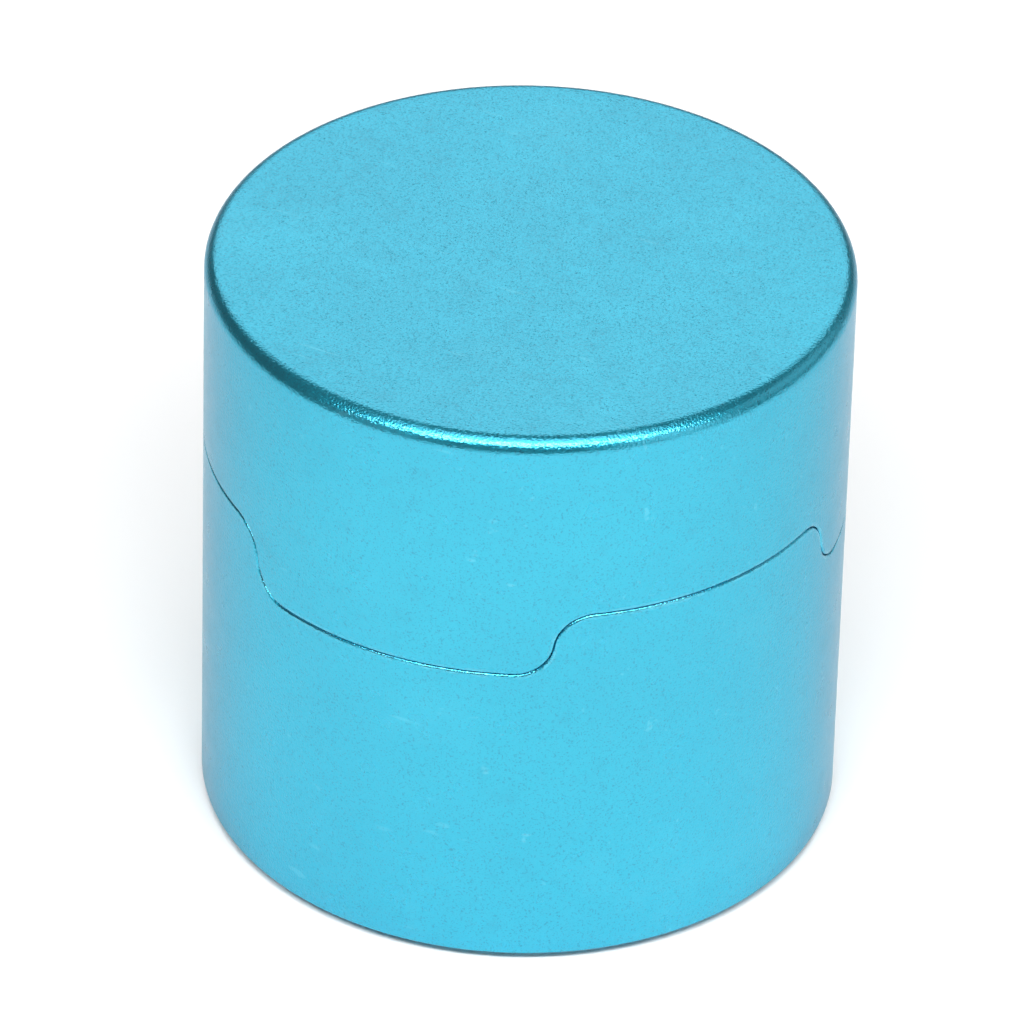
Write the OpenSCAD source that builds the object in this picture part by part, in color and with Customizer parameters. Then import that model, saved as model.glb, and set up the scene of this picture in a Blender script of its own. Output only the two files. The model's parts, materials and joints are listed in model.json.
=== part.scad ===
// Pill crusher: a keyed cap and a turning sleeve round a footed mortar.
//
// The cap's three lobes drop into the sleeve's three notches, so cap and sleeve turn as one. The mortar
// stands still on its rubber foot, and the sprung pestle in the cap turns over it.
// Z = 0 is the surface that the foot stands on. Angles start at the front, -Y, and grow towards +X.

/* [Outside] */
// Outer diameter of the cap and the sleeve
body_d = 50; // [41:0.5:62]
// Height of the cap and the sleeve together
body_h = 48.1; // [47:0.1:62]
// How far the foot pad stands out below the sleeve
foot_drop = 0.6; // [0.4:0.1:1.2]
// Radius of the rounded edge round the cap's top
top_edge_r = 1.25; // [0.4:0.05:2.4]
// Radius of the broken edge round the sleeve's bottom
bottom_edge_r = 0.3; // [0.1:0.05:0.6]

/* [Wave seam] */
// Height of the middle of the seam above the sleeve's bottom edge
seam_h = 29.4; // [24:0.1:35.4]
// Height of the wave, from its low stretches to its high ones
wave_h = 5.4; // [3:0.1:6.6]
// Steepest slope of each flank, in degrees
flank_a = 82; // [60:1:88]
// Gap between the two shells, measured square to the seam
seam_gap = 0.15; // [0.08:0.01:0.3]

/* [Shells] */
// Wall of the sleeve above its shoulder
shell_wall = 3; // [2.4:0.1:4]
// Radial clearance between the cap's bore and the guide collar
cap_clear = 0.15; // [0.1:0.01:0.3]
// Thickness of the cap's top
cap_top_t = 3.2; // [2.6:0.1:5]
// Depth of the boss under the cap's top
boss_h = 4; // [3:0.1:6]
// Radius of the boss
boss_r = 5.6; // [5:0.1:7]
// Thickness of the flange inside the bottom of the sleeve
flange_t = 2.6; // [2:0.1:4]
// Width of the sleeve's bottom rim, outside the foot plate's recess
rim_w = 4.5; // [3:0.1:6]

/* [Guide collar] */
// Wall of the collar
collar_wall = 1.6; // [1.4:0.05:2.4]
// How far the collar stands above the high stretches of the seam
collar_rise = 6; // [4:0.1:8]
// How far the collar is pressed in below the low stretches of the seam
collar_grip = 7; // [4:0.1:9]
// Thickness of the O-ring's cord
o_ring_d = 1; // [0.8:0.05:1.2]
// Height of the O-ring below the collar's top
o_ring_drop = 2.6; // [1.5:0.1:3.4]
// Radial clearance between the O-ring and the cap's bore
o_ring_clear = 0.04; // [0.01:0.01:0.1]

/* [Mortar] */
// Radial clearance between the cup and the bore round it
cup_clear = 0.6; // [0.4:0.05:1]
// Wall of the cup
cup_wall = 2.8; // [2.2:0.1:4]
// Thickness of the cup's floor
cup_floor_t = 3.8; // [3.4:0.1:6]
// How far the cup's rim lies below the collar's top
cup_drop = 7.7; // [5:0.1:11]
// Thickness of both ridged plates, without their ridges
grind_t = 1.6; // [1.2:0.1:2.4]
// Height of the ridges
ridge_h = 1; // [0.6:0.05:1.5]
// Width of a ridge at its foot
ridge_w = 1.7; // [1.2:0.1:2.2]
// Number of ridges on the mortar's plate
mortar_ridges = 18; // [8:1:20]
// Number of ridges on the pestle's plate
pestle_ridges = 15; // [8:1:20]
// Gap between the two sets of ridges with the cap closed and empty
grind_gap = 0.5; // [0.4:0.05:1]
// Thickness of the seal's lip ring
seal_t = 1.4; // [1:0.1:2]
// How far the seal's groove is cut into the cup
seal_depth = 0.9; // [0.6:0.05:1.3]
// Radial clearance between the seal and the collar's bore
seal_clear = 0.04; // [0.01:0.01:0.1]

/* [Foot and bearing] */
// Thickness of the foot pad
pad_t = 1.6; // [1.4:0.1:2.4]
// Width of the foot plate's rim outside the pad
pad_rim_w = 3.4; // [2:0.1:5]
// How far the foot plate's underside lies above the sleeve's bottom edge
plate_inset = 0.4; // [0.2:0.05:0.7]
// Thickness of the foot plate
plate_t = 2.2; // [1.8:0.1:3]
// Radial clearance between the foot plate and its recess
plate_clear = 0.3; // [0.2:0.05:0.6]
// Width of the ring on which the sleeve is carried
thrust_w = 4.2; // [3:0.1:5]
// Thickness of the thrust washers
washer_t = 0.5; // [0.3:0.05:1]
// Axial play on each side of the flange
thrust_play = 0.05; // [0.03:0.01:0.1]
// Wall of the bearing bush
bush_wall = 1.5; // [1:0.1:2.5]
// Radial running clearance between the bush and the hub
bush_clear = 0.05; // [0.01:0.01:0.1]
// Depth of the screws' centres in from the edge of the hub
screw_inset = 4.4; // [3.4:0.1:5]
// Diameter of the core screws' thread
core_screw_d = 2.5; // [2:0.1:3]
// How far the core screws reach into the cup's floor
core_screw_bite = 2.9; // [2:0.1:3]

/* [Pestle] */
// Radial gap between the pestle and the mortar's wall
pestle_gap = 0.5; // [0.3:0.05:1]
// Wall of the pestle's skirt
pestle_wall = 4; // [3:0.1:5]
// Length of the pestle's guide on the post
guide_t = 5; // [4:0.1:6]
// How far the pestle can ride up the post
float_travel = 5.5; // [4:0.1:7]
// Width of the hexagonal post across its flats
post_af = 8; // [7:0.1:8.6]
// Clearance between each flat of the post and the guide
post_clear = 0.08; // [0.03:0.01:0.1]
// Thread that fixes the post in the boss
stud_d = 5; // [4:0.1:6]
// Thread of the screw in the post's end
post_screw_d = 4; // [3:0.1:4.4]
// Thickness of the washer that stops the pestle
stop_t = 1; // [0.8:0.1:1.4]
// Gap between that washer and the pestle at rest
stop_gap = 0.1; // [0.05:0.01:0.2]

/* [Spring] */
// Thickness of the spring's wire
wire_d = 1.2; // [0.9:0.05:1.5]
// Number of turns
spring_turns = 5.5; // [4:0.5:6.5]
// Length left over when the pestle is pushed right up
spring_spare = 0.2; // [0.1:0.1:2]
// Radial clearance between the spring and the boss that it goes round
spring_clear = 0.35; // [0.2:0.05:0.6]
// Depth of the spring's seat in the pestle
seat_depth = 1; // [0.6:0.1:1.6]
// Radial clearance between the spring and its seat
seat_clear = 0.25; // [0.1:0.05:0.5]

/* [Hidden] */
$fn = 96;
skin = 0.02;                 // hairline round pressed, threaded and bonded pieces
over = 1;                    // how far a cutting tool runs past what it cuts
lobes = 3;
core_screws = 3;

// Radii, from the outside in
shell_r = body_d / 2;
bore_r = shell_r - shell_wall;
cap_bore_r = bore_r + cap_clear;
collar_bore_r = bore_r - collar_wall;
cup_r = collar_bore_r - cup_clear;
cup_bore_r = cup_r - cup_wall;
pestle_r = cup_bore_r - pestle_gap;
pestle_bore_r = pestle_r - pestle_wall;
recess_r = shell_r - rim_w;
plate_r = recess_r - plate_clear;
pad_r = plate_r - pad_rim_w;
flange_r = plate_r - thrust_w;
bush_r = flange_r - skin;
bush_bore_r = flange_r - bush_wall;
hub_r = bush_bore_r - bush_clear;
screw_circle_r = hub_r - screw_inset;
o_ring_r = cap_bore_r - o_ring_clear - o_ring_d / 2;
seal_r = collar_bore_r - seal_clear;

// Heights, from the foot up
sleeve_z = foot_drop;
plate_z = sleeve_z + plate_inset;
plate_top_z = plate_z + plate_t;
flange_z = plate_top_z + washer_t + thrust_play;
flange_top_z = flange_z + flange_t;
cup_z = flange_top_z + washer_t + thrust_play;
cup_floor_z = cup_z + cup_floor_t;
mortar_face_z = cup_floor_z + grind_t;
pestle_tip_z = mortar_face_z + ridge_h + grind_gap;
pestle_face_z = pestle_tip_z + ridge_h;
pestle_z = pestle_face_z + grind_t;

// Heights, from the seam
seam_z = sleeve_z + seam_h;
low_z = seam_z - wave_h / 2;
high_z = seam_z + wave_h / 2;
shoulder_z = low_z - collar_grip;
collar_top_z = high_z + collar_rise;
o_ring_z = collar_top_z - o_ring_drop;
cup_top_z = collar_top_z - cup_drop;
seal_drop = 3;
seal_z = cup_top_z - seal_drop - seal_t;

// Heights, from the cap's top down
top_z = sleeve_z + body_h;
ceiling_z = top_z - cap_top_t;
boss_z = ceiling_z - boss_h;
spring_len = (spring_turns + 1) * wire_d + float_travel + spring_spare;
seat_z = ceiling_z - spring_len;
pestle_top_z = seat_z + seat_depth;
guide_z = pestle_top_z - guide_t;
post_z = guide_z - stop_gap;

// The wave: each flank is a lower arc and an upper arc that meet on a slope
wave_r = wave_h / 2 / (1 - cos(flank_a));
flank_w = wave_r * sin(flank_a);
lobe_a = 360 / lobes / 2;
arc_steps = 10;
tool_r = bore_r - 2 * over;
tool_out_r = shell_r + 2 * over;

// Spring and screws
spring_r = boss_r + spring_clear + wire_d / 2;
spring_out_r = spring_r + wire_d / 2;
flat_turns = 0.75;           // turns at each end of the spring that lie almost flat
flat_pitch = 0.3;            // how far those rise in a turn, over the wire's thickness
wire_sides = 8;
turn_steps = 20;
stop_lip = 1.6;              // how far the stop washer reaches past the post's flats
stop_r = post_af / 2 + stop_lip;
head_play = 0.1;
core_head_r = 2.25;
core_head_h = 1.4;
post_head_r = 3.5;
post_head_h = 2.2;
socket_share = 0.5;          // a hexagon socket's width across corners over its head's diameter
socket_depth_share = 0.6;    // its depth over its head's height
screw_in_post = 8;
stud_cover = 2;              // metal left above the stud's hole
stud_len = boss_h + cap_top_t - stud_cover;

// Grinding plates
ridge_inset = 0.6;           // how far the ridges end inside the wall or the rim
button_r = 3;                // middle of the low cone where the ridges meet
button_slope = 0.6;          // how far its side leans out and in
button_share = 0.9;          // its height over the ridges' height
ridge_skew = 12;             // how far the pestle's ridges turn from the radial line

anodised = [0.29, 0.76, 0.87];
bare = [0.80, 0.81, 0.82];
steel = [0.66, 0.67, 0.69];
dark_steel = [0.30, 0.31, 0.33];
bronze = [0.72, 0.52, 0.30];
rubber = [0.13, 0.13, 0.14];
white_plastic = [0.93, 0.93, 0.91];
silicone = [0.86, 0.88, 0.87];

function numbered(name, count) = [for (i = [1:count]) str(name, "_", i)];

// ---- Shared shapes ----

// A plain ring between two radii and two heights
module ring(inner_r, outer_r, from_z, to_z) {
    difference() {
        translate([0, 0, from_z])
            cylinder(h = to_z - from_z, r = outer_r);
        translate([0, 0, from_z - over])
            cylinder(h = to_z - from_z + 2 * over, r = inner_r);
    }
}

// A disc or a bore between two heights
module disc(r, from_z, to_z) {
    translate([0, 0, from_z])
        cylinder(h = to_z - from_z, r = r);
}

// A 45 degree lead round the top inside edge of a bore, as a cutting tool
module bore_lead(r, z, size) {
    translate([0, 0, z - size])
        cylinder(h = size + over, r1 = r, r2 = r + size + over);
}

// A 45 degree lead round a top outside edge, as a cutting tool
module rim_lead(r, z, size) {
    difference() {
        disc(r + over, z - size, z + over);
        translate([0, 0, z - size])
            cylinder(h = size + over, r1 = r, r2 = r - size - over);
        disc(r, z - 2 * size, z - size);
    }
}

// One flank from a low stretch up to a high one, as [distance along the seam, height] at each step,
// moved square to itself by shift
function flank(shift) = concat(
    [for (i = [0:arc_steps]) let (t = flank_a * i / arc_steps)
        [-flank_w, low_z + wave_r] + (wave_r + shift) * [sin(t), -cos(t)]],
    [for (i = [arc_steps - 1:-1:0]) let (t = flank_a * i / arc_steps)
        [flank_w, high_z - wave_r] + (wave_r - shift) * [-sin(t), cos(t)]]
);

// The whole seam, as [angle, height] at each step. Each lobe has a rising flank, the middle of a high
// stretch, a falling flank and the middle of a low stretch
function seam(shift) = let (
        degrees = 180 / PI / shell_r,
        rising = [for (p = flank(shift)) [p[0] * degrees - lobe_a / 2, p[1]]],
        falling = [for (i = [len(rising) - 1:-1:0]) [-rising[i][0], rising[i][1]]],
        lobe = concat(rising, [[0, high_z - shift]], falling, [[lobe_a, low_z - shift]])
    )
    [for (i = [0:lobes - 1], p = lobe) [(2 * i + 1) * lobe_a + p[0], p[1]]];

// Everything between the seam, moved square to itself by shift, and the level end_z, through the walls
module seam_tool(shift, end_z) {
    edge = seam(shift);
    count = len(edge);
    corners = [for (p = edge)
        for (c = [[tool_r, end_z], [tool_out_r, end_z], [tool_out_r, p[1]], [tool_r, p[1]]])
            [c[0] * sin(p[0]), -c[0] * cos(p[0]), c[1]]];
    walls = [for (i = [0:count - 1], c = [0:3])
        let (next = (i + 1) % count, d = (c + 1) % 4)
            [4 * i + c, 4 * next + c, 4 * next + d, 4 * i + d]];
    polyhedron(
        points = corners,
        faces = end_z < seam_z ? [for (w = walls) [w[3], w[2], w[1], w[0]]] : walls
    );
}

// A screw with its head down: head, thread and a hexagon socket
module screw(head_r, head_h, thread_r, length, seat_height) {
    difference() {
        union() {
            disc(head_r, seat_height - head_h, seat_height);
            disc(thread_r, seat_height - skin, seat_height + length);
        }
        translate([0, 0, seat_height - head_h - over])
            cylinder(h = over + socket_depth_share * head_h, r = socket_share * head_r, $fn = 6);
    }
}

// Straight ridges on a flat face, each turned by skew from the radial line. They point up or down
module ridges(count, outer_r, face_z, up, skew) {
    intersection() {
        disc(outer_r, face_z - 2 * ridge_h, face_z + 2 * ridge_h);
        for (i = [0:count - 1])
            rotate([0, 0, i * 360 / count])
                translate([button_r - button_slope / 2, 0, face_z])
                    rotate([0, 0, skew])
                        rotate([90, 0, 90])
                            linear_extrude(outer_r)
                                polygon([
                                    [-ridge_w / 2, -up * skin],
                                    [ridge_w / 2, -up * skin],
                                    [0, up * ridge_h]
                                ]);
    }
    ridge_button(face_z, up);
}

// The low cone where the ridges meet
module ridge_button(face_z, up) {
    translate([0, 0, face_z])
        mirror([0, 0, up > 0 ? 0 : 1])
            translate([0, 0, -skin])
                cylinder(
                    h = button_share * ridge_h + skin,
                    r1 = button_r + button_slope,
                    r2 = button_r - button_slope
                );
}

function screw_angle(i) = -90 + (i - 1) * 360 / core_screws;

module at_core_screw(i) {
    rotate([0, 0, screw_angle(i)])
        translate([screw_circle_r, 0, 0])
            children();
}

// ---- The core that stands on the table ----

module foot_pad() {
    groove_w = 1;
    groove_depth = 0.5;
    color(rubber)
        difference() {
            disc(pad_r - skin, 0, pad_t);
            for (share = [0.45, 0.7, 0.9])
                ring(share * pad_r - groove_w / 2, share * pad_r + groove_w / 2, -over, groove_depth);
        }
}

module foot_plate() {
    color(bare)
        difference() {
            union() {
                disc(plate_r, plate_z, plate_top_z);
                disc(hub_r, plate_z, cup_z);
            }
            disc(pad_r, plate_z - over, pad_t);
            for (i = [1:core_screws])
                at_core_screw(i) {
                    disc(core_head_r + head_play, pad_t - over, pad_t + core_head_h + head_play);
                    disc(core_screw_d / 2 + head_play, pad_t, cup_z + over);
                }
        }
}

module core_screw(i) {
    color(dark_steel)
        at_core_screw(i)
            screw(
                core_head_r,
                core_head_h,
                core_screw_d / 2,
                cup_z + core_screw_bite - pad_t - core_head_h - head_play,
                pad_t + core_head_h + head_play
            );
}

module lower_thrust_washer() {
    color(white_plastic)
        ring(hub_r + plate_clear, plate_r - plate_clear, plate_top_z, plate_top_z + washer_t);
}

module mortar_cup() {
    lead = 0.8;
    color(bare)
        difference() {
            disc(cup_r, cup_z, cup_top_z);
            disc(cup_bore_r, cup_floor_z, cup_top_z + over);
            bore_lead(cup_bore_r, cup_top_z, lead);
            rim_lead(cup_r, cup_top_z, lead / 2);
            ring(cup_r - seal_depth, cup_r + over, seal_z, seal_z + seal_t);
            for (i = [1:core_screws])
                at_core_screw(i)
                    disc(core_screw_d / 2 + skin, cup_z - over, cup_z + core_screw_bite + head_play);
        }
}

module mortar_plate() {
    color(steel) {
        disc(cup_bore_r - skin, cup_floor_z, mortar_face_z);
        ridges(mortar_ridges, cup_bore_r - ridge_inset, mortar_face_z, 1, 0);
    }
}

module cup_seal() {
    lip_r = seal_t / 4;
    inner_r = cup_r - seal_depth + skin;
    color(silicone)
        rotate_extrude() {
            translate([inner_r, seal_z + skin])
                square([seal_r - lip_r - inner_r, seal_t - 2 * skin]);
            translate([seal_r - lip_r, seal_z + seal_t / 2])
                circle(lip_r);
        }
}

// ---- The sleeve, which turns round the core ----

module sleeve_shell() {
    blank_z = high_z + over;
    color(anodised)
        difference() {
            union() {
                disc(shell_r, sleeve_z + bottom_edge_r, blank_z);
                disc(shell_r - bottom_edge_r, sleeve_z, blank_z);
                rotate_extrude()
                    translate([shell_r - bottom_edge_r, sleeve_z + bottom_edge_r])
                        circle(bottom_edge_r);
            }
            disc(recess_r, sleeve_z - over, flange_z);
            disc(flange_r, sleeve_z, flange_top_z + over);
            disc(collar_bore_r, flange_top_z, blank_z + over);
            disc(bore_r, shoulder_z, blank_z + over);
            seam_tool(seam_gap / 2, blank_z + over);
        }
}

module bearing_bush() {
    color(bronze)
        ring(bush_bore_r, bush_r, flange_z, flange_top_z);
}

module upper_thrust_washer() {
    color(white_plastic)
        ring(hub_r + plate_clear, cup_r - plate_clear, flange_top_z, flange_top_z + washer_t);
}

module guide_collar() {
    lead = 0.5;
    outer_r = bore_r - skin;
    color(bare)
        difference() {
            ring(collar_bore_r, outer_r, shoulder_z, collar_top_z);
            rim_lead(outer_r, collar_top_z, lead);
            bore_lead(collar_bore_r, collar_top_z, lead / 2);
            ring(o_ring_r - o_ring_d / 2, outer_r + over, o_ring_z - o_ring_d / 2 - skin,
                 o_ring_z + o_ring_d / 2 + skin);
        }
}

module collar_o_ring() {
    color(rubber)
        rotate_extrude()
            translate([o_ring_r, o_ring_z])
                circle(o_ring_d / 2 - skin / 2);
}

// ---- The cap, which lifts straight off the sleeve ----

module cap_shell() {
    color(anodised)
        difference() {
            union() {
                disc(shell_r, low_z, top_z - top_edge_r);
                disc(shell_r - top_edge_r, low_z, top_z);
                rotate_extrude()
                    translate([shell_r - top_edge_r, top_z - top_edge_r])
                        circle(top_edge_r);
            }
            difference() {
                disc(cap_bore_r, low_z - over, ceiling_z);
                disc(boss_r, boss_z, ceiling_z + over);
            }
            seam_tool(-seam_gap / 2, low_z - over);
            disc(stud_d / 2 + skin, boss_z - over, boss_z + stud_len + head_play);
        }
}

module pestle_post() {
    color(steel)
        difference() {
            union() {
                translate([0, 0, post_z])
                    cylinder(h = boss_z - post_z, r = post_af / 2 / cos(30), $fn = 6);
                disc(stud_d / 2, boss_z - skin, boss_z + stud_len);
            }
            disc(post_screw_d / 2 + skin, post_z - over, post_z + screw_in_post + head_play);
        }
}

module post_washer() {
    color(steel)
        ring(post_screw_d / 2 + head_play, stop_r, post_z - stop_t, post_z);
}

module post_screw() {
    color(dark_steel)
        screw(post_head_r, post_head_h, post_screw_d / 2, stop_t + screw_in_post, post_z - stop_t);
}

// Height of the wire's centre line after a number of turns: it lies almost flat at both ends
function spring_height(turn) = let (
        climb = spring_len - wire_d - 2 * skin,
        end_h = flat_turns * flat_pitch * wire_d
    )
    seat_z + skin + wire_d / 2 + lookup(turn, [
        [0, 0],
        [flat_turns, end_h],
        [spring_turns - flat_turns, climb - end_h],
        [spring_turns, climb]
    ]);

// A point on the wire's surface, after a number of turns and at an angle round the wire
function spring_point(turn, side_a) = let (out = spring_r + wire_d / 2 * cos(side_a))
    [
        out * cos(360 * turn),
        out * sin(360 * turn),
        spring_height(turn) + wire_d / 2 * sin(side_a)
    ];

module pestle_spring() {
    rings = round(spring_turns * turn_steps);
    last = rings * wire_sides;
    wire_points = [for (i = [0:rings], s = [0:wire_sides - 1])
        spring_point(i / rings * spring_turns, 360 * s / wire_sides)];
    wire_faces = concat(
        [[for (s = [0:wire_sides - 1]) s]],
        [[for (s = [wire_sides - 1:-1:0]) last + s]],
        [for (i = [0:rings - 1], s = [0:wire_sides - 1])
            let (a = i * wire_sides + s, b = i * wire_sides + (s + 1) % wire_sides)
                [a, a + wire_sides, b + wire_sides, b]]
    );
    color(steel)
        polyhedron(points = wire_points, faces = wire_faces);
}

// ---- The pestle, which slides on the cap's post ----

module pestle_body() {
    lead = 0.8;
    color(bare)
        difference() {
            disc(pestle_r, pestle_z, pestle_top_z);
            disc(pestle_bore_r, pestle_z - over, guide_z);
            translate([0, 0, guide_z - over])
                cylinder(h = guide_t + 2 * over, r = (post_af / 2 + post_clear) / cos(30), $fn = 6);
            disc(spring_out_r + seat_clear, seat_z, pestle_top_z + over);
            rim_lead(pestle_r, pestle_top_z, lead);
        }
}

module pestle_plate() {
    spigot_h = 1.5;
    color(steel) {
        disc(pestle_r, pestle_face_z, pestle_z);
        disc(pestle_bore_r - skin, pestle_z - skin, pestle_z + spigot_h);
        ridges(pestle_ridges, pestle_r - ridge_inset, pestle_face_z, -1, ridge_skew);
    }
}

foot_pad();
foot_plate();
lower_thrust_washer();
mortar_cup();
mortar_plate();
cup_seal();
for (i = [1:core_screws])
    core_screw(i);
sleeve_shell();
bearing_bush();
upper_thrust_washer();
guide_collar();
collar_o_ring();
cap_shell();
pestle_post();
post_washer();
post_screw();
pestle_spring();
pestle_body();
pestle_plate();
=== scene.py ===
# Looks for the pill crusher: camera, materials, wave-edged shells, grip pad, coil spring and studio.
import json
import math

import bpy
import bmesh
import numpy as np
from mathutils import Matrix, Vector


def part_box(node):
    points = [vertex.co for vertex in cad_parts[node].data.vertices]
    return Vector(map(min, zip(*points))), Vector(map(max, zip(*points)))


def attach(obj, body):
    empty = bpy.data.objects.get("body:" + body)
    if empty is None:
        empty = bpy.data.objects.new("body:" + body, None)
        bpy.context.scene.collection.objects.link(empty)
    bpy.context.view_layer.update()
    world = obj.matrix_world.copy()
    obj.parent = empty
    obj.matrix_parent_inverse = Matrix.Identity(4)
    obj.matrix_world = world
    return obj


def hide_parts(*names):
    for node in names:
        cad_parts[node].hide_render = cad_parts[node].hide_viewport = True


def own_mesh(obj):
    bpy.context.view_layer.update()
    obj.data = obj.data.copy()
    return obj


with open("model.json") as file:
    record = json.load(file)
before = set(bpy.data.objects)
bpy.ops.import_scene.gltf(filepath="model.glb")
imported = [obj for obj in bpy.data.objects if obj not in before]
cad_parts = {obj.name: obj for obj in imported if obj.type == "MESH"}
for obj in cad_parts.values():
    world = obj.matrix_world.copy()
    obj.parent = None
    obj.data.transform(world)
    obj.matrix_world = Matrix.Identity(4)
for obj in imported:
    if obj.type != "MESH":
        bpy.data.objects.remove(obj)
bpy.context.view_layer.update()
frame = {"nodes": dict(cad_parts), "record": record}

MM = 0.001
scene = bpy.context.scene
scene.view_settings.view_transform = "Standard"
scene.view_settings.look = "None"

# ---- Sizes in millimetres: boxes come from the frame, the rest repeats the design's named values ----


def low(node):
    """Lowest height of a CAD node."""
    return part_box(node)[0][2] / MM


def high(node):
    """Highest height of a CAD node."""
    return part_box(node)[1][2] / MM


def outer(node):
    """Outer radius of a round CAD node."""
    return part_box(node)[1][0] / MM


seam_gap = 0.15
flank_slope = math.radians(82)
lobes = 3
shell_wall = 3.0
cap_clear = 0.15
collar_wall = 1.6
top_edge_r = 1.25
bottom_edge_r = 0.3
boss_r = 5.6
boss_h = 4.0
stud_r = 2.52
stud_hole_h = 5.3
spring_clear = 0.02          # between the spring and the ceiling of its pocket
foot_plate_clear = 0.3
bush_clear = 0.02
wire_r = 0.6
spring_turns = 5.5
spring_flat_turns = 0.75     # turns that lie almost flat at each end
flat_pitch_share = 0.3       # how far a flat turn climbs, as a share of the wire's diameter
groove_shares = (0.9, 0.7, 0.45)    # radii of the pad's grooves, as shares of the pad's radius
groove_depth = 0.5
groove_top_w = 1.0
groove_floor_w = 0.8
groove_edge_r = 0.12
seam_edge_r = 0.2
seam_shown = 0.04            # the gap between the shells' rounded edges
seam_margin = 0.6            # plain wall between the seam and the first level row
longest_face = 2.0

shell_r = outer("cap_shell")
cap_bore_r = shell_r - shell_wall + cap_clear
top_z = high("cap_shell")
bottom_z = low("sleeve_shell")
low_z = low("cap_shell") - seam_gap / 2
high_z = high("sleeve_shell") + seam_gap / 2
wave_h = high_z - low_z
ceiling_z = high("pestle_spring") + spring_clear
boss_z = ceiling_z - boss_h
bore_r = shell_r - shell_wall
collar_bore_r = bore_r - collar_wall
shoulder_z = low("guide_collar")
recess_r = outer("foot_plate") + foot_plate_clear
flange_r = outer("bearing_bush") + bush_clear
flange_z = low("bearing_bush")
flange_top_z = high("bearing_bush")


# ---- Camera ----

CAMERA_AZ = math.radians(24.1)


def place_camera():
    """A long lens, about 35 degrees up and a little to the right of the front."""
    elevation = math.radians(35.31)
    roll = math.radians(1.6)
    distance = 0.755
    back = Vector((
        math.sin(CAMERA_AZ) * math.cos(elevation),
        -math.cos(CAMERA_AZ) * math.cos(elevation),
        math.sin(elevation),
    ))
    level = Vector((math.cos(CAMERA_AZ), math.sin(CAMERA_AZ), 0))
    upright = back.cross(level)
    right = math.cos(roll) * level + math.sin(roll) * upright
    up = math.cos(roll) * upright - math.sin(roll) * level
    aim = Vector((0, 0, (bottom_z + top_z) / 2 * MM))
    data = bpy.data.cameras.new("camera")
    data.lens = 341.0
    data.sensor_width = 36.0
    data.shift_x = -0.0119
    data.shift_y = 0.0012
    data.clip_start = 0.05
    data.clip_end = 20
    data.dof.use_dof = False
    camera = bpy.data.objects.new("camera", data)
    eye = aim + back * distance
    camera.matrix_world = Matrix((
        (right.x, up.x, back.x, eye.x),
        (right.y, up.y, back.y, eye.y),
        (right.z, up.z, back.z, eye.z),
        (0, 0, 0, 1),
    ))
    scene.collection.objects.link(camera)
    scene.camera = camera


place_camera()


# ---- Materials ----

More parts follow.
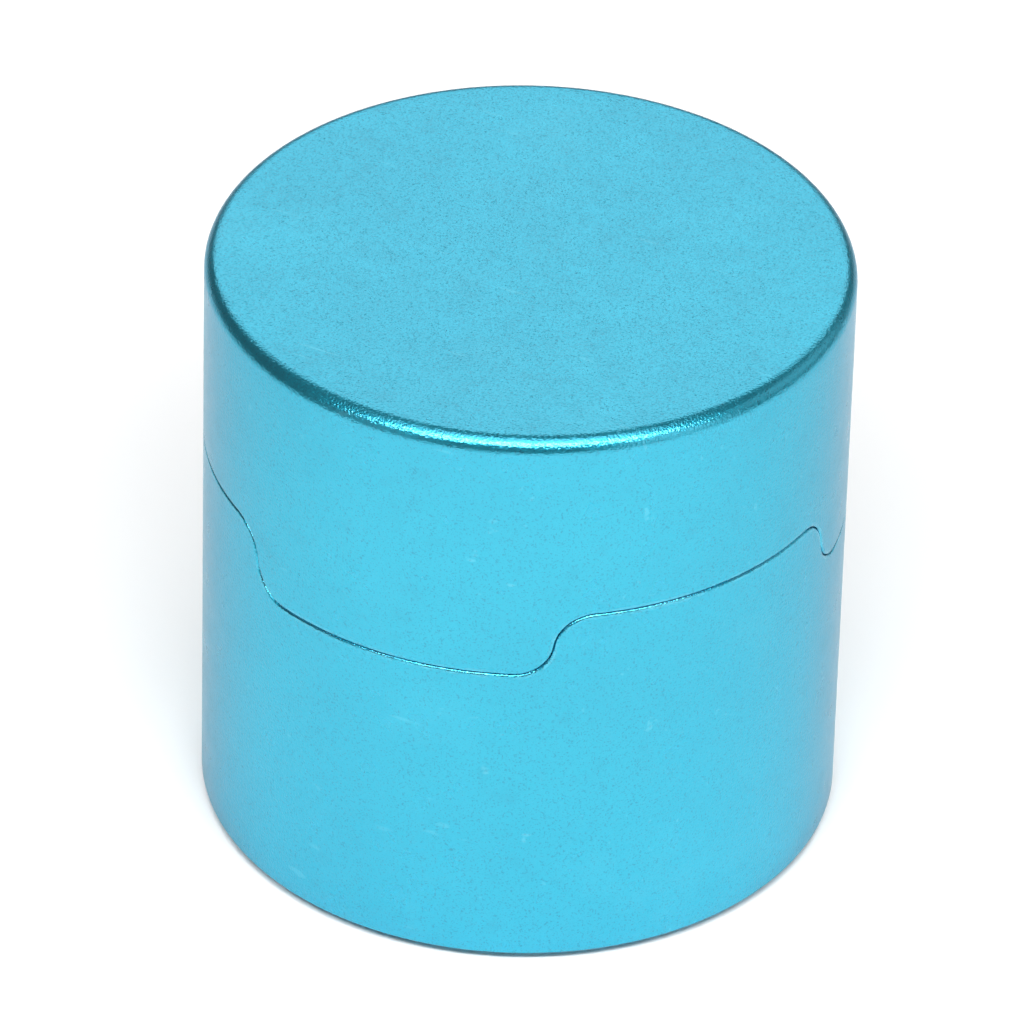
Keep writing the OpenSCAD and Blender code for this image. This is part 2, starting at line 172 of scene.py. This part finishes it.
class Nodes:
    """A short way to add and join shader nodes in one material."""

    def __init__(self, name):
        self.material = bpy.data.materials.new(name)
        self.material.use_nodes = True
        self.tree = self.material.node_tree
        self.shader = self.tree.nodes["Principled BSDF"]
        self.place = self.add("ShaderNodeTexCoord").outputs["Object"]

    def add(self, kind, **settings):
        node = self.tree.nodes.new(kind)
        for key, value in settings.items():
            setattr(node, key, value)
        return node

    def join(self, source, target):
        self.tree.links.new(source, target)

    def put(self, target, value):
        """A number, a colour or another node's output into an input."""
        if isinstance(value, bpy.types.NodeSocket):
            self.join(value, target)
        elif isinstance(value, tuple) and len(value) == 3 and target.type == "RGBA":
            target.default_value = (*value, 1)
        else:
            target.default_value = value

    def math(self, operation, a, b=0.0):
        node = self.add("ShaderNodeMath", operation=operation)
        self.put(node.inputs[0], a)
        self.put(node.inputs[1], b)
        return node.outputs[0]

    def noise(self, scale, detail=2.0, rough=0.5, vector=None):
        node = self.add("ShaderNodeTexNoise")
        self.join(vector or self.place, node.inputs["Vector"])
        node.inputs["Scale"].default_value = scale
        node.inputs["Detail"].default_value = detail
        node.inputs["Roughness"].default_value = rough
        return node.outputs["Fac"]

    def ramp(self, value, start, end, from_value=0.0, to_value=1.0):
        """value from start to end, mapped to from_value to to_value and clamped."""
        node = self.add("ShaderNodeMapRange")
        self.put(node.inputs["Value"], value)
        node.inputs["From Min"].default_value = start
        node.inputs["From Max"].default_value = end
        node.inputs["To Min"].default_value = from_value
        node.inputs["To Max"].default_value = to_value
        return node.outputs["Result"]

    def mix(self, share, a, b):
        node = self.add("ShaderNodeMix", data_type="RGBA")
        self.put(node.inputs["Factor"], share)
        self.put(node.inputs["A"], a)
        self.put(node.inputs["B"], b)
        return node.outputs["Result"]

    def bump(self, height, strength, distance, normal=None):
        node = self.add("ShaderNodeBump")
        self.join(height, node.inputs["Height"])
        node.inputs["Strength"].default_value = strength
        node.inputs["Distance"].default_value = distance
        if normal:
            self.join(normal, node.inputs["Normal"])
        return node.outputs["Normal"]

    def stretched_place(self, turn, scale):
        """Places turned and scaled unevenly, for marks that run one way."""
        node = self.add("ShaderNodeMapping")
        self.join(self.place, node.inputs["Vector"])
        node.inputs["Rotation"].default_value = turn
        node.inputs["Scale"].default_value = scale
        return node.outputs[0]

    def turned_place(self, around):
        """A point's distance from the axis and its height, for marks that run round the axis."""
        split = self.add("ShaderNodeSeparateXYZ")
        self.join(self.place, split.inputs[0])
        x, y, z = split.outputs
        squares = self.math("ADD", self.math("MULTIPLY", x, x), self.math("MULTIPLY", y, y))
        radius = self.math("SQRT", squares)
        together = self.add("ShaderNodeCombineXYZ")
        self.join(radius, together.inputs[0])
        self.join(z, together.inputs[1])
        self.join(self.math("MULTIPLY", self.math("ARCTAN2", y, x), around), together.inputs[2])
        return together.outputs[0]

    def finish(self, colour, roughness, normal=None, **plain):
        """Joins the shader up, sets its plain inputs and gives the finished material."""
        self.put(self.shader.inputs["Base Color"], colour)
        self.put(self.shader.inputs["Roughness"], roughness)
        if normal:
            self.join(normal, self.shader.inputs["Normal"])
        for key, value in plain.items():
            self.shader.inputs[key.replace("_", " ")].default_value = value
        return self.material


def anodised_material():
    """Bead-blasted, turquoise anodised aluminium with specks, pits, scratches, smudges, and seam edges
    lightened partly as wear and partly as a painted glint.
    """
    n = Nodes("anodised_turquoise")
    grain = n.noise(5200, 1.0, 0.6)
    speck = n.noise(6400, 1.0, 0.5)
    coarse = n.noise(1900, 2.0, 0.5)
    cloud = n.noise(55, 3.0, 0.55)
    mottle = n.noise(420, 2.0, 0.6)

    spots = n.add("ShaderNodeTexVoronoi", feature="F1")
    n.join(n.place, spots.inputs["Vector"])
    spots.inputs["Scale"].default_value = 240
    pit_pick = n.math("GREATER_THAN", n.noise(90, 1.0, 0.5), 0.60)
    pit = n.math("MULTIPLY", n.ramp(spots.outputs["Distance"], 0.0, 0.045, 1.0, 0.0), pit_pick)

    tint = n.mix(n.ramp(cloud, 0.35, 0.65), (0.004, 0.364, 0.520), (0.005, 0.384, 0.542))
    tint = n.mix(n.ramp(speck, 0.56, 0.74, 0.0, 0.75), tint, (0.004, 0.21, 0.32))
    tint = n.mix(n.ramp(mottle, 0.60, 0.80, 0.0, 0.30), tint, (0.006, 0.29, 0.42))
    tint = n.mix(n.math("MULTIPLY", pit, 0.7), tint, (0.01, 0.10, 0.15))

    drag = n.stretched_place((0.5, 0.3, 0.5), (1.0, 9.0, 5.0))
    scratch = n.ramp(n.noise(150, 2.0, 0.5, drag), 0.70, 0.76)
    smudge = n.ramp(n.noise(70, 4.0, 0.65), 0.58, 0.72)
    tint = n.mix(n.math("MULTIPLY", scratch, 0.30), tint, (0.09, 0.51, 0.65))
    tint = n.mix(n.math("MULTIPLY", smudge, 0.20), tint, (0.04, 0.43, 0.58))

    # The seam edges get a paler cyan colour and lower roughness: partly edge wear, partly a painted glint
    # along the rounded edges.
    edge = n.add("ShaderNodeAttribute", attribute_name="rim").outputs["Fac"]
    wear_and_glint = n.math("MULTIPLY", edge, n.ramp(n.noise(900, 3.0, 0.6), 0.42, 0.62))
    tint = n.mix(n.math("MULTIPLY", wear_and_glint, 0.15), tint, (0.25, 0.68, 0.78))

    rough = n.ramp(mottle, 0.3, 0.7, 0.27, 0.32)
    rough = n.math("SUBTRACT", rough, n.math("MULTIPLY", wear_and_glint, 0.12))
    normal = n.bump(grain, 1.0, 0.00004)
    normal = n.bump(coarse, 0.12, 0.00008, normal)
    normal = n.bump(n.math("SUBTRACT", 1.0, pit), 0.15, 0.00004, normal)
    n.join(normal, n.shader.inputs["Coat Normal"])
    return n.finish(
        tint, rough, normal, Metallic=1.0, Specular_Tint=(0.60, 0.66, 0.72, 1),
        Coat_Weight=0.35, Coat_Roughness=0.18, Coat_IOR=2.2,
    )


def turned_material(name, colour, dark, roughness, marks, grain_strength):
    """Bare metal with fine turning marks round the axis."""
    n = Nodes(name)
    rings = n.noise(marks, 3.0, 0.7, n.turned_place(0.0004))
    broad = n.noise(marks / 9, 2.0, 0.5, n.turned_place(0.0008))
    cloud = n.noise(120, 3.0, 0.5)
    tint = n.mix(n.ramp(rings, 0.3, 0.7), dark, colour)
    tint = n.mix(n.ramp(cloud, 0.4, 0.8, 0.0, 0.25), tint, dark)
    normal = n.bump(rings, 0.35, 0.00003)
    normal = n.bump(broad, 0.12, 0.00006, normal)
    normal = n.bump(n.noise(4200, 2.0, 0.6), grain_strength, 0.00003, normal)
    return n.finish(tint, n.ramp(cloud, 0.3, 0.7, roughness, roughness + 0.08), normal, Metallic=1.0)


def blasted_material(name, colour, dark, roughness):
    """Stainless steel, lightly blasted, with short scratches."""
    n = Nodes(name)
    grain = n.noise(4600, 2.0, 0.65)
    stretch = n.stretched_place((0.2, 0.1, 0.6), (1.0, 14.0, 6.0))
    scratch = n.ramp(n.noise(190, 2.0, 0.5, stretch), 0.70, 0.74)
    cloud = n.noise(140, 3.0, 0.6)
    tint = n.mix(n.ramp(grain, 0.3, 0.7), dark, colour)
    tint = n.mix(n.ramp(cloud, 0.45, 0.8, 0.0, 0.3), tint, dark)
    normal = n.bump(grain, 0.35, 0.00004)
    normal = n.bump(scratch, 0.25, 0.00002, normal)
    rough = n.ramp(cloud, 0.3, 0.7, roughness, roughness + 0.1)
    rough = n.math("SUBTRACT", rough, n.math("MULTIPLY", scratch, 0.12))
    return n.finish(tint, rough, normal, Metallic=1.0)


def rubber_material(name, colour, pale, roughness, scale, strength):
    """Moulded rubber with a fine matt skin and a little dust."""
    n = Nodes(name)
    skin = n.noise(scale, 3.0, 0.6)
    dust = n.ramp(n.noise(260, 4.0, 0.65), 0.55, 0.85, 0.0, 0.6)
    tint = n.mix(dust, colour, pale)
    normal = n.bump(skin, strength, 0.00006)
    rough = n.ramp(skin, 0.2, 0.8, roughness - 0.06, roughness + 0.06)
    return n.finish(tint, rough, normal, Specular_IOR_Level=0.4)


def plastic_material(name, colour, shade, roughness, scatter):
    """Waxy plastic or silicone with faint clouding."""
    n = Nodes(name)
    cloud = n.noise(300, 3.0, 0.6)
    tint = n.mix(n.ramp(cloud, 0.35, 0.75, 0.0, 0.7), colour, shade)
    normal = n.bump(n.noise(2600, 2.0, 0.5), 0.15, 0.00004)
    rough = n.ramp(cloud, 0.3, 0.7, roughness, roughness + 0.1)
    return n.finish(tint, rough, normal, Subsurface_Weight=scatter, Subsurface_Scale=0.001)


def bronze_material():
    """Oiled sintered bronze: open grain with darker pores."""
    n = Nodes("sintered_bronze")
    grain = n.noise(2300, 3.0, 0.7)
    pores = n.ramp(grain, 0.30, 0.42)
    tint = n.mix(pores, (0.16, 0.09, 0.04), (0.62, 0.40, 0.19))
    normal = n.bump(grain, 0.4, 0.00005)
    return n.finish(tint, n.ramp(grain, 0.3, 0.7, 0.5, 0.32), normal, Metallic=1.0)


def wire_material():
    """Drawn spring wire, bright with fine dark streaks."""
    n = Nodes("spring_wire")
    streak = n.noise(2600, 3.0, 0.6, n.turned_place(0.0015))
    tint = n.mix(n.ramp(streak, 0.3, 0.7), (0.30, 0.30, 0.31), (0.62, 0.62, 0.63))
    normal = n.bump(streak, 0.2, 0.00003)
    return n.finish(tint, n.ramp(streak, 0.3, 0.7, 0.34, 0.2), normal, Metallic=1.0)


def oxide_material():
    """Black oxide screws with slightly rubbed high spots."""
    n = Nodes("black_oxide")
    rub = n.ramp(n.noise(1400, 3.0, 0.65), 0.55, 0.75, 0.0, 0.6)
    tint = n.mix(rub, (0.03, 0.03, 0.034), (0.16, 0.16, 0.17))
    normal = n.bump(n.noise(3600), 0.3, 0.00003)
    return n.finish(tint, n.ramp(rub, 0.0, 0.6, 0.48, 0.34), normal, Metallic=0.8)


FINISHES = {
    "anodised_shell": anodised_material(),
    "bare_aluminium": turned_material(
        "turned_aluminium", (0.78, 0.79, 0.80), (0.60, 0.61, 0.63), 0.27, 5200, 0.15),
    "stainless_steel": blasted_material(
        "blasted_stainless", (0.62, 0.62, 0.62), (0.44, 0.44, 0.45), 0.26),
    "spring_steel": wire_material(),
    "black_steel": oxide_material(),
    "bronze": bronze_material(),
    "foot_rubber": rubber_material(
        "foot_rubber", (0.035, 0.035, 0.038), (0.11, 0.11, 0.11), 0.72, 3200, 0.5),
    "o_ring_rubber": rubber_material(
        "o_ring_rubber", (0.016, 0.016, 0.018), (0.05, 0.05, 0.05), 0.42, 2400, 0.2),
    "silicone": plastic_material(
        "milky_silicone", (0.78, 0.80, 0.80), (0.66, 0.69, 0.69), 0.38, 0.25),
    "white_plastic": plastic_material(
        "low_friction_plastic", (0.84, 0.84, 0.82), (0.74, 0.74, 0.71), 0.42, 0.15),
}
SLOT_OF = {s["node"]: s["material_slot"] for s in frame["record"]["subparts"]}
BODY_OF = {n: b for b, nodes in frame["record"]["behaviour"]["bodies"].items() for n in nodes}


# ---- Mesh making ----

def new_piece(name, points, faces, rim=None):
    """A smooth-shaded mesh object from points in millimetres, with an optional value per point called rim."""
    mesh = bpy.data.meshes.new(name)
    mesh.from_pydata([tuple(p) for p in np.asarray(points) * MM], [], faces)
    mesh.polygons.foreach_set("use_smooth", [True] * len(mesh.polygons))
    if rim is not None:
        layer = mesh.attributes.new("rim", "FLOAT", "POINT")
        layer.data.foreach_set("value", np.asarray(rim, dtype=np.float32))
    mesh.validate()
    mesh.update()
    piece = bpy.data.objects.new(name, mesh)
    scene.collection.objects.link(piece)
    return piece


def tidy_normals(piece):
    """Turns all the faces outwards."""
    shape = bmesh.new()
    shape.from_mesh(piece.data)
    bmesh.ops.recalc_face_normals(shape, faces=shape.faces)
    shape.to_mesh(piece.data)
    shape.free()


def stand_for(piece, node):
    """The piece takes the node's place, body and finish."""
    piece.data.materials.clear()
    piece.data.materials.append(FINISHES[SLOT_OF[node]])
    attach(piece, BODY_OF[node])
    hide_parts(node)
    return piece


def net(rows, loop=False, start_pole=None, end_pole=None):
    """Points and faces of a net of rows that each run once round the axis."""
    count = len(rows[0])
    points = [p for row in rows for p in row]
    faces = []
    pairs = list(zip(range(len(rows) - 1), range(1, len(rows))))
    if loop:
        pairs.append((len(rows) - 1, 0))
    for a, b in pairs:
        for i in range(count):
            j = (i + 1) % count
            faces.append((a * count + i, a * count + j, b * count + j, b * count + i))
    if start_pole is not None:
        points.append(start_pole)
        faces += [(len(points) - 1, (i + 1) % count, i) for i in range(count)]
    if end_pole is not None:
        points.append(end_pole)
        base = (len(rows) - 1) * count
        faces += [(len(points) - 1, base + i, base + (i + 1) % count) for i in range(count)]
    return points, faces


def rounded(outline, steps=4):
    """An open outline of (radius, height, corner radius) as (radius, height), its corners as arcs."""
    out = []
    for i, (r, z, round_r) in enumerate(outline):
        here = Vector((r, z))
        if round_r <= 0:
            out.append((r, z))
            continue
        before = Vector(outline[i - 1][:2]) - here
        after = Vector(outline[i + 1][:2]) - here
        half = before.angle(after) / 2
        run = min(round_r / math.tan(half), 0.45 * before.length, 0.45 * after.length)
        round_r = run * math.tan(half)
        a, b = before.normalized(), after.normalized()
        centre = here + (a + b).normalized() * (round_r / math.sin(half))
        start, end = here + a * run - centre, here + b * run - centre
        sweep = start.angle(end)
        for k in range(steps + 1):
            t = k / steps
            arm = (start * math.sin((1 - t) * sweep) + end * math.sin(t * sweep)) / math.sin(sweep)
            out.append(tuple(centre + arm))
    return out


def subdivided(outline):
    """More points along the straight stretches, so that the net's faces stay even."""
    out = []
    for a, b in zip(outline, outline[1:]):
        pieces = max(1, math.ceil(math.dist(a, b) / longest_face))
        for k in range(pieces):
            out.append((a[0] + (b[0] - a[0]) * k / pieces, a[1] + (b[1] - a[1]) * k / pieces))
    out.append(outline[-1])
    return out


def spun(name, outline, columns=180):
    """A turned piece: an outline that starts and ends on the axis, spun round it."""
    path = subdivided(rounded(outline))
    angles = [2 * math.pi * i / columns for i in range(columns)]
    rows = [[(r * math.cos(a), r * math.sin(a), z) for a in angles] for r, z in path[1:-1]]
    return new_piece(name, *net(rows, start_pole=(0, 0, path[0][1]), end_pole=(0, 0, path[-1][1])))


# ---- The seam ----

wave_r = wave_h / 2 / (1 - math.cos(flank_slope))
flank_w = wave_r * math.sin(flank_slope)
ARC_STEPS = 20
FLAT_STEPS = 34


def seam_line():
    """The seam's middle line once round: distance along the circle, height and unit normal upwards."""
    s, z, ns, nz = [], [], [], []
    lobe = 2 * math.pi * shell_r / lobes
    flat = lobe / 2 - 2 * flank_w

    def add(at, height, slope):
        s.append(at)
        z.append(height)
        ns.append(-math.sin(slope))
        nz.append(math.cos(slope))

    for i in range(lobes):
        rise = i * lobe + lobe / 4
        fall = rise + lobe / 2
        for k in range(FLAT_STEPS):
            add(rise - flank_w - flat + flat * k / FLAT_STEPS, low_z, 0)
        for k in range(ARC_STEPS):
            t = flank_slope * k / ARC_STEPS
            add(rise - flank_w + wave_r * math.sin(t), low_z + wave_r * (1 - math.cos(t)), t)
        for k in range(ARC_STEPS):
            t = flank_slope * (1 - k / ARC_STEPS)
            add(rise + flank_w - wave_r * math.sin(t), high_z - wave_r * (1 - math.cos(t)), t)
        for k in range(FLAT_STEPS):
            add(rise + flank_w + flat * k / FLAT_STEPS, high_z, 0)
        for k in range(ARC_STEPS):
            t = flank_slope * k / ARC_STEPS
            add(fall - flank_w + wave_r * math.sin(t), high_z - wave_r * (1 - math.cos(t)), -t)
        for k in range(ARC_STEPS):
            t = flank_slope * (1 - k / ARC_STEPS)
            add(fall + flank_w - wave_r * math.sin(t), low_z + wave_r * (1 - math.cos(t)), -t)
    return (np.array(v) for v in (s, z, ns, nz))


seam_s, seam_height, seam_ns, seam_nz = seam_line()


def seam_row(radius, offset):
    """One row of the net: the seam moved square to itself by offset, on a cylinder."""
    angle = (seam_s + offset * seam_ns) / shell_r
    height = seam_height + offset * seam_nz
    return np.stack([radius * np.sin(angle), -radius * np.cos(angle), height], axis=1)


def level_row(radius, height, offset):
    """A level row whose points stand in line with the seam's."""
    row = seam_row(radius, offset)
    row[:, 2] = height
    return row


EDGE_STEPS = 5
FACE_STEPS = 5
# Rim values on the seam's rounded edges: they mask edge wear and a painted glint in the shell's colour.
OUTER_WEAR_AND_GLINT = 1.0
INNER_WEAR_AND_GLINT = 0.6


def seam_band(sign, inner_r):
    """Rows across the seam's face, from the outer wall to the bore, with both edges rounded."""
    e = seam_edge_r
    gap = seam_shown / 2
    rows = []
    for k in range(EDGE_STEPS + 1):
        t = math.pi / 2 * k / EDGE_STEPS
        rows.append((shell_r - e * (1 - math.cos(t)), gap + e * (1 - math.sin(t)), OUTER_WEAR_AND_GLINT))
    for k in range(1, FACE_STEPS):
        rows.append((shell_r - e + (inner_r + e - shell_r + e) * k / FACE_STEPS, gap, 0.0))
    for k in range(EDGE_STEPS + 1):
        t = math.pi / 2 * (1 - k / EDGE_STEPS)
        rows.append((inner_r + e * (1 - math.cos(t)), gap + e * (1 - math.sin(t)), INNER_WEAR_AND_GLINT))
    return [(seam_row(r, sign * o), rim) for r, o, rim in rows]


def wave_shell(name, sign, wall_path, bore_path, inner_r, poles=False):
    """A shell whose wavy edge is joined, on both sides of its wall, to level rows."""
    reach = sign * (seam_shown / 2 + seam_edge_r)
    beside = sign * (seam_shown / 2 + 2 * seam_edge_r)
    band = seam_band(sign, inner_r)
    outside = [(level_row(r, z, beside), 0.0) for r, z in wall_path]
    inside = [(level_row(r, z, reach), 0.0) for r, z in bore_path]
    rows = outside + [(seam_row(shell_r, beside), 0.0)] + band + inside
    nets = [row for row, rim in rows]
    rim = [value for row, value in rows for _ in range(len(row))]
    if poles:
        points, faces = net(nets, start_pole=(0, 0, wall_path[0][1]), end_pole=(0, 0, bore_path[-1][1]))
        rim += [0.0, 0.0]
    else:
        points, faces = net(nets, loop=True)
    piece = new_piece(name, points, faces, rim)
    tidy_normals(piece)
    return piece


def build_cap():
    """The upper shell: a flat top with one rounded edge, three lobes, and a boss with a hole for the stud."""
    wall_z = high_z + seam_margin
    hole_z = boss_z + stud_hole_h
    top = [(0, top_z, 0), (shell_r, top_z, top_edge_r), (shell_r, wall_z, 0)]
    wall = subdivided(rounded(top, steps=14))[1:]
    bore = [
        (cap_bore_r, wall_z, 0),
        (cap_bore_r, ceiling_z, 0.6),
        (boss_r, ceiling_z, 0.4),
        (boss_r, boss_z, 0.2),
        (stud_r, boss_z, 0.1),
        (stud_r, hole_z, 0.1),
        (0, hole_z, 0),
    ]
    inner = subdivided(rounded(bore))[:-1]
    stand_for(wave_shell("cap", 1, wall, inner, cap_bore_r, poles=True), "cap_shell")


def build_sleeve():
    """The lower shell: three notches, a shoulder for the collar, a flange round the bush and a recess."""
    wall_z = low_z - seam_margin
    under = [
        (bore_r, wall_z, 0),
        (bore_r, shoulder_z, 0),
        (collar_bore_r, shoulder_z, 0.1),
        (collar_bore_r, flange_top_z, 0.3),
        (flange_r, flange_top_z, 0.1),
        (flange_r, flange_z, 0.1),
        (recess_r, flange_z, 0.3),
        (recess_r, bottom_z, 0.2),
        (shell_r, bottom_z, bottom_edge_r),
        (shell_r, wall_z, 0),
    ]
    path = subdivided(rounded(under))
    turn = next(i for i, (r, z) in enumerate(path) if abs(z - bottom_z) < 1e-6)
    stand_for(wave_shell("sleeve", -1, path[turn:], path[:turn], bore_r), "sleeve_shell")


build_cap()
build_sleeve()


# ---- The grip pad ----

def build_foot():
    """The rubber disc that grips the table, with three grooves round its underside."""
    pad_r = outer("foot_pad")
    pad_t = high("foot_pad")
    outline = [(0, pad_t, 0), (pad_r, pad_t, 0.15), (pad_r, 0, 0.35)]
    for share in groove_shares:
        at = share * pad_r
        outline += [
            (at + groove_top_w / 2, 0, groove_edge_r),
            (at + groove_floor_w / 2, groove_depth, groove_edge_r),
            (at - groove_floor_w / 2, groove_depth, groove_edge_r),
            (at - groove_top_w / 2, 0, groove_edge_r),
        ]
    outline.append((0, 0, 0))
    stand_for(spun("grip_pad", outline), "foot_pad")


build_foot()


# ---- The spring ----

def build_spring():
    """Round wire in a coil that lies almost flat at both ends."""
    coil_r = outer("pestle_spring") - wire_r
    bottom = low("pestle_spring") + wire_r
    top = high("pestle_spring") - wire_r
    end_h = spring_flat_turns * flat_pitch_share * 2 * wire_r
    turn_marks = (0, spring_flat_turns, spring_turns - spring_flat_turns, spring_turns)
    height_marks = (bottom, bottom + end_h, top - end_h, top)
    steps_a_turn = 64
    sides = 20
    rings = int(spring_turns * steps_a_turn)
    rows = []
    for i in range(rings + 1):
        turn = spring_turns * i / rings
        height = np.interp(turn, turn_marks, height_marks)
        around = 2 * math.pi * turn
        out = np.array((math.cos(around), math.sin(around), 0))
        row = []
        for k in range(sides):
            side = 2 * math.pi * k / sides
            at = out * (coil_r + wire_r * math.cos(side))
            at[2] = height + wire_r * math.sin(side)
            row.append(tuple(at))
        rows.append(row)
    start = tuple(np.mean(rows[0], axis=0))
    end = tuple(np.mean(rows[-1], axis=0))
    piece = new_piece("coil_spring", *net(rows, start_pole=start, end_pole=end))
    tidy_normals(piece)
    stand_for(piece, "pestle_spring")
    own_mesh(piece)


build_spring()


# ---- The rest of the CAD nodes keep their shape and get their finish ----

def finish_nodes():
    """Every CAD node that still shows gets the finish of its slot."""
    for name, node in frame["nodes"].items():
        if node.hide_render:
            continue
        node.data.materials.clear()
        node.data.materials.append(FINISHES[SLOT_OF[name]])


finish_nodes()


# ---- Studio ----

ROOM_LIGHT = 0.20
LIT_POINT = Vector((0, 0, 0.03))
FLOOR_HALF = 3000


def room():
    """A dim, even room round the panels."""
    world = bpy.data.worlds.new("studio")
    world.use_nodes = True
    background = world.node_tree.nodes["Background"]
    background.inputs["Color"].default_value = (1, 1, 1, 1)
    background.inputs["Strength"].default_value = ROOM_LIGHT
    scene.world = world


def seen_from_front(right, back, up):
    """A place given to the right of, behind and above the object, as the camera sees them."""
    return Vector((
        right * math.cos(CAMERA_AZ) - back * math.sin(CAMERA_AZ),
        right * math.sin(CAMERA_AZ) + back * math.cos(CAMERA_AZ),
        up,
    ))


def panel(name, right, back, up, width, height, radiance):
    """A rectangular soft panel that faces the object, with the same brightness all over."""
    at = seen_from_front(right, back, up)
    data = bpy.data.lights.new(name, "AREA")
    data.shape = "RECTANGLE"
    data.size = width
    data.size_y = height
    data.energy = radiance * math.pi * width * height
    light = bpy.data.objects.new(name, data)
    light.location = at
    light.rotation_euler = (LIT_POINT - at).to_track_quat("-Z", "Y").to_euler()
    light.visible_camera = False
    scene.collection.objects.link(light)


def build_studio():
    """A white floor, a bright strip over the front, a broad panel behind and dim ones at the sides."""
    room()
    panel("front_overhead", 0, -0.21, 0.32, 0.54, 0.065, 15.0)
    panel("overhead", 0, -0.18, 0.5, 0.4, 0.5, 2.0)
    panel("back_panel", 0, 1.2, 0.85, 1.6, 0.8, 1.55)
    panel("left_front_panel", -0.77, -0.64, 0.30, 0.60, 0.50, 0.35)
    panel("right_front_panel", 0.77, -0.64, 0.30, 0.60, 0.50, 1.4)
    panel("right_panel", 1.0, 0.25, 0.50, 0.90, 0.70, 0.6)
    n = Nodes("floor_paper")
    n.finish(n.mix(n.noise(30), (0.96, 0.96, 0.96), (0.97, 0.97, 0.97)), 0.8)
    corners = [(x * FLOOR_HALF, y * FLOOR_HALF, 0) for x, y in ((-1, -1), (1, -1), (1, 1), (-1, 1))]
    floor = new_piece("floor", corners, [(0, 1, 2, 3)])
    floor.data.materials.append(n.material)


build_studio()
